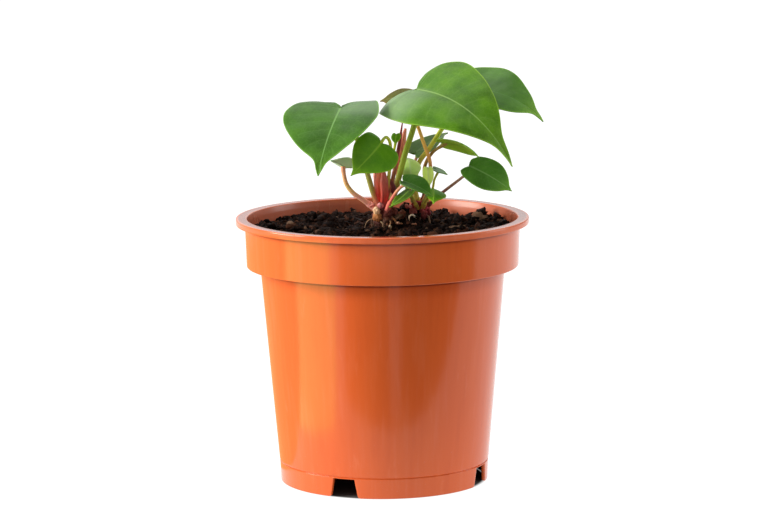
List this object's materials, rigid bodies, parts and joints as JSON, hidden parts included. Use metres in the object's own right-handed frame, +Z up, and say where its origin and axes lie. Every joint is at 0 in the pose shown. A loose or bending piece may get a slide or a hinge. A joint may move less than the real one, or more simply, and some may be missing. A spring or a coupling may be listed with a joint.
{
  "type": "potted_plant",
  "caption": "Young anthurium with heart-shaped leaves on slender stalks, growing in dark soil in a round terracotta-coloured plastic nursery pot with a stepped collar and a notched foot.",
  "frame": {"origin": "centre of the pot's foot, on the surface that it stands on", "axes": "+Z up along the pot's axis; the picture's front stands 22.5 degrees from -Y towards +X"},
  "size_m": [0.12, 0.12, 0.1711],
  "materials": {
    "pot": "gloss",
    "soil": "matte",
    "crown": "satin",
    "leaf_deep": "satin",
    "leaf_fresh": "satin",
    "leaf_grey": "satin",
    "leaf_pale": "satin",
    "leaf_bronze": "satin",
    "stalk_green": "satin",
    "stalk_tan": "satin",
    "stalk_rose": "satin",
    "stalk_brown": "satin"
  },
  "bodies": {
    "root": {"pot": "pot", "soil": "soil", "crown": "crown", "side_crown": "crown", "leaf_left": "leaf_deep", "leaf_top": "leaf_fresh", "leaf_rear": "leaf_deep", "leaf_bronze": "leaf_bronze", "leaf_front": "leaf_fresh", "leaf_low_left": "leaf_grey", "leaf_bud": "leaf_fresh", "leaf_shade": "leaf_deep", "leaf_arched": "leaf_deep", "leaf_right": "leaf_deep", "leaf_curled": "leaf_pale", "leaf_pale": "leaf_pale", "leaf_slim": "leaf_deep", "leaf_low_front": "leaf_deep", "leaf_low_bright": "leaf_fresh", "leaf_folded": "leaf_fresh", "stalk_left": "stalk_green", "stalk_low_left": "stalk_rose", "stalk_front": "stalk_green", "stalk_top": "stalk_green", "stalk_low_front": "stalk_rose", "sheath_rose": "stalk_rose", "sheath_brown": "stalk_brown", "sheath_dark": "stalk_brown", "sheath_pink": "stalk_rose", "stalk_bud": "stalk_green", "stalk_rear": "stalk_green", "stalk_bronze": "stalk_tan", "stalk_shade": "stalk_brown", "stalk_arched": "stalk_brown", "stalk_right": "stalk_brown", "stalk_slim": "stalk_green", "stalk_pale": "stalk_green", "stalk_curled": "stalk_green", "stalk_folded": "stalk_green", "stalk_low_bright": "stalk_green"}
  },
  "joints": []
}
